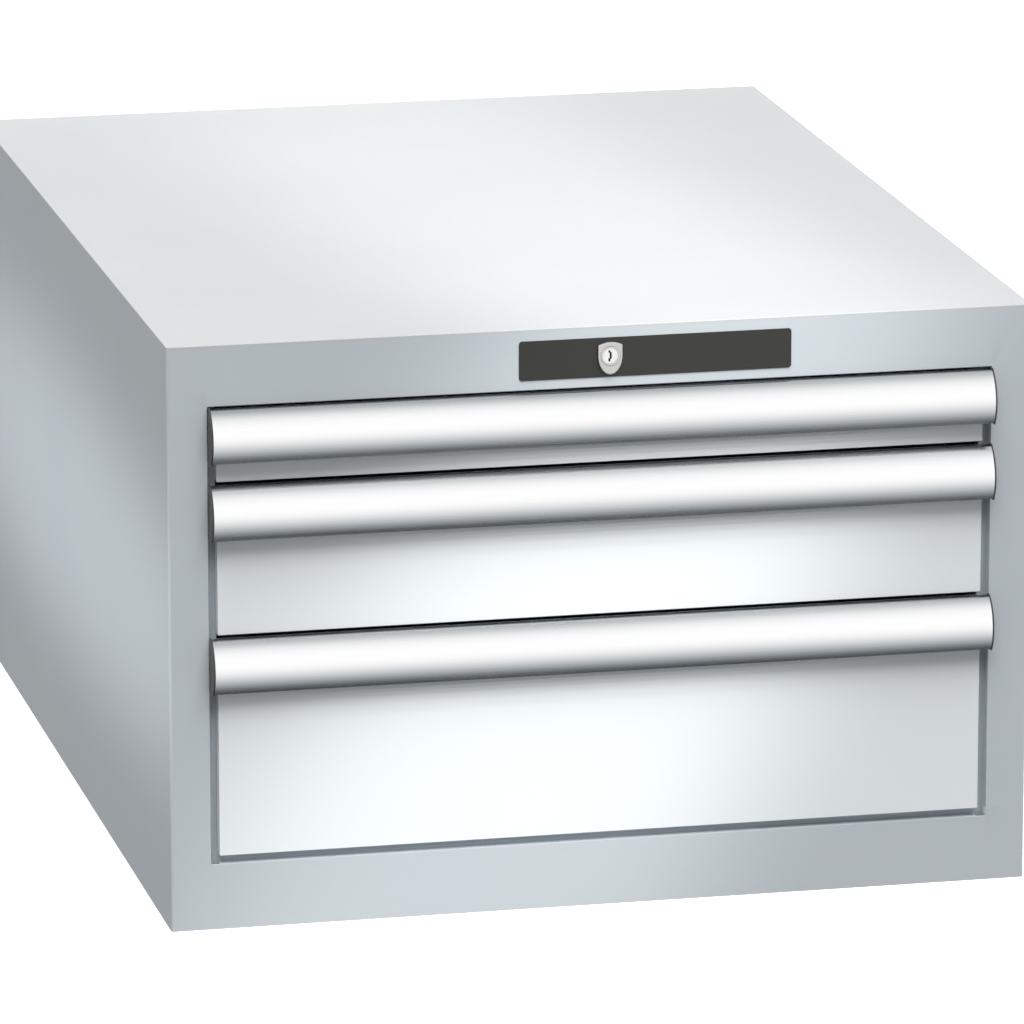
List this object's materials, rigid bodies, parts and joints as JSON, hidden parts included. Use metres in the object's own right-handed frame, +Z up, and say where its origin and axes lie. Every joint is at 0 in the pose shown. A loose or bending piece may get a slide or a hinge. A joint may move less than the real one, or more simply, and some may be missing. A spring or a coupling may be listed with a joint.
{
  "type": "modular drawer cabinet",
  "caption": "Low sheet-steel drawer cabinet with stacked full-extension drawers, full-width grip handles and a central lock.",
  "frame": {"origin": "centre of the housing's footprint on the floor", "axes": "+X to the right seen from the front, +Y from the front to the back, +Z up"},
  "size_m": [0.564, 0.7401, 0.383],
  "materials": {
    "housing_paint": "light grey powder coat",
    "front_paint": "light grey powder coat",
    "drawer_paint": "light grey powder coat on the drawer's inside",
    "anodised_aluminium": "clear anodised, satin",
    "cap_plastic": "dark grey moulded plastic",
    "plate_plastic": "anthracite moulded plastic",
    "lock_nickel": "satin nickel",
    "lock_plug_steel": "polished nickel silver",
    "zinc_steel": "zinc plated",
    "roller_nylon": "natural nylon"
  },
  "bodies": {
    "housing": {"side_panel_left": "housing_paint", "side_panel_right": "housing_paint", "top_panel": "housing_paint", "base_panel": "housing_paint", "rear_panel": "housing_paint", "front_top_rail": "housing_paint", "front_bottom_rail": "housing_paint", "slotted_posts": "zinc_steel", "lock_plate": "plate_plastic", "lock_rosette": "lock_nickel", "lock_cylinder": "lock_nickel", "lock_nut": "zinc_steel", "lock_guides": "zinc_steel", "drawer_1_cabinet_rails": "zinc_steel", "drawer_2_cabinet_rails": "zinc_steel", "drawer_3_cabinet_rails": "zinc_steel"},
    "lock_plug": {"lock_plug": "lock_plug_steel", "lock_cam": "zinc_steel"},
    "lock_slide": {"lock_slide": "zinc_steel"},
    "lock_bar": {"lock_bar": "zinc_steel", "lock_hooks": "zinc_steel"},
    "drawer_1": {"drawer_1_front": "front_paint", "drawer_1_handle": "anodised_aluminium", "drawer_1_handle_caps": "cap_plastic", "drawer_1_floor": "drawer_paint", "drawer_1_side_walls": "drawer_paint", "drawer_1_end_walls": "drawer_paint", "drawer_1_catch": "zinc_steel", "drawer_1_rails": "zinc_steel"},
    "middle_rails_1": {"drawer_1_middle_rails": "zinc_steel", "drawer_1_axles": "zinc_steel", "drawer_1_rear_glides": "roller_nylon"},
    "front_rollers_1": {"drawer_1_front_rollers": "roller_nylon"},
    "centre_rollers_1": {"drawer_1_centre_rollers": "roller_nylon"},
    "drawer_2": {"drawer_2_front": "front_paint", "drawer_2_handle": "anodised_aluminium", "drawer_2_handle_caps": "cap_plastic", "drawer_2_floor": "drawer_paint", "drawer_2_side_walls": "drawer_paint", "drawer_2_end_walls": "drawer_paint", "drawer_2_catch": "zinc_steel", "drawer_2_rails": "zinc_steel"},
    "middle_rails_2": {"drawer_2_middle_rails": "zinc_steel", "drawer_2_axles": "zinc_steel", "drawer_2_rear_glides": "roller_nylon"},
    "front_rollers_2": {"drawer_2_front_rollers": "roller_nylon"},
    "centre_rollers_2": {"drawer_2_centre_rollers": "roller_nylon"},
    "drawer_3": {"drawer_3_front": "front_paint", "drawer_3_handle": "anodised_aluminium", "drawer_3_handle_caps": "cap_plastic", "drawer_3_floor": "drawer_paint", "drawer_3_side_walls": "drawer_paint", "drawer_3_end_walls": "drawer_paint", "drawer_3_catch": "zinc_steel", "drawer_3_rails": "zinc_steel"},
    "middle_rails_3": {"drawer_3_middle_rails": "zinc_steel", "drawer_3_axles": "zinc_steel", "drawer_3_rear_glides": "roller_nylon"},
    "front_rollers_3": {"drawer_3_front_rollers": "roller_nylon"},
    "centre_rollers_3": {"drawer_3_centre_rollers": "roller_nylon"}
  },
  "joints": [
    {"name": "lock_turn", "type": "hinge", "parent": "housing", "child": "lock_plug", "pos_m": [0.004, -0.355, 0.3635], "axis": [0, 1, 0], "range_deg": [0, 90]},
    {"name": "lock_slide_travel", "type": "slide", "parent": "housing", "child": "lock_slide", "axis": [-1, 0, 0], "range_m": [0, 0.00848]},
    {"name": "lock_bar_travel", "type": "slide", "parent": "housing", "child": "lock_bar", "axis": [0, 0, -1], "range_m": [0, 0.0085]},
    {"name": "drawer_1_slide", "type": "slide", "parent": "housing", "child": "drawer_1", "axis": [0, -1, 0], "range_m": [0, 0.61]},
    {"name": "middle_rails_1_slide", "type": "slide", "parent": "housing", "child": "middle_rails_1", "axis": [0, -1, 0], "range_m": [0, 0.305]},
    {"name": "front_rollers_1_turn", "type": "hinge", "parent": "middle_rails_1", "child": "front_rollers_1", "pos_m": [0, -0.3305, 0.316], "axis": [1, 0, 0], "range_deg": [0, 1942]},
    {"name": "centre_rollers_1_turn", "type": "hinge", "parent": "middle_rails_1", "child": "centre_rollers_1", "pos_m": [0, -0.00425, 0.316], "axis": [1, 0, 0], "range_deg": [0, 1942]},
    {"name": "drawer_2_slide", "type": "slide", "parent": "housing", "child": "drawer_2", "axis": [0, -1, 0], "range_m": [0, 0.61]},
    {"name": "middle_rails_2_slide", "type": "slide", "parent": "housing", "child": "middle_rails_2", "axis": [0, -1, 0], "range_m": [0, 0.305]},
    {"name": "front_rollers_2_turn", "type": "hinge", "parent": "middle_rails_2", "child": "front_rollers_2", "pos_m": [0, -0.3305, 0.216], "axis": [1, 0, 0], "range_deg": [0, 1942]},
    {"name": "centre_rollers_2_turn", "type": "hinge", "parent": "middle_rails_2", "child": "centre_rollers_2", "pos_m": [0, -0.00425, 0.216], "axis": [1, 0, 0], "range_deg": [0, 1942]},
    {"name": "drawer_3_slide", "type": "slide", "parent": "housing", "child": "drawer_3", "axis": [0, -1, 0], "range_m": [0, 0.61]},
    {"name": "middle_rails_3_slide", "type": "slide", "parent": "housing", "child": "middle_rails_3", "axis": [0, -1, 0], "range_m": [0, 0.305]},
    {"name": "front_rollers_3_turn", "type": "hinge", "parent": "middle_rails_3", "child": "front_rollers_3", "pos_m": [0, -0.3305, 0.066], "axis": [1, 0, 0], "range_deg": [0, 1942]},
    {"name": "centre_rollers_3_turn", "type": "hinge", "parent": "middle_rails_3", "child": "centre_rollers_3", "pos_m": [0, -0.00425, 0.066], "axis": [1, 0, 0], "range_deg": [0, 1942]}
  ],
  "couplings": [
    {"joint": "lock_turn", "follows": "lock_slide_travel", "rad_per_m": 185.12},
    {"joint": "lock_bar_travel", "follows": "lock_slide_travel", "ratio": 1},
    {"joint": "middle_rails_1_slide", "follows": "drawer_1_slide", "ratio": 0.5},
    {"joint": "front_rollers_1_turn", "follows": "drawer_1_slide", "rad_per_m": 55.556},
    {"joint": "centre_rollers_1_turn", "follows": "drawer_1_slide", "rad_per_m": 55.556},
    {"joint": "middle_rails_2_slide", "follows": "drawer_2_slide", "ratio": 0.5},
    {"joint": "front_rollers_2_turn", "follows": "drawer_2_slide", "rad_per_m": 55.556},
    {"joint": "centre_rollers_2_turn", "follows": "drawer_2_slide", "rad_per_m": 55.556},
    {"joint": "middle_rails_3_slide", "follows": "drawer_3_slide", "ratio": 0.5},
    {"joint": "front_rollers_3_turn", "follows": "drawer_3_slide", "rad_per_m": 55.556},
    {"joint": "centre_rollers_3_turn", "follows": "drawer_3_slide", "rad_per_m": 55.556}
  ]
}
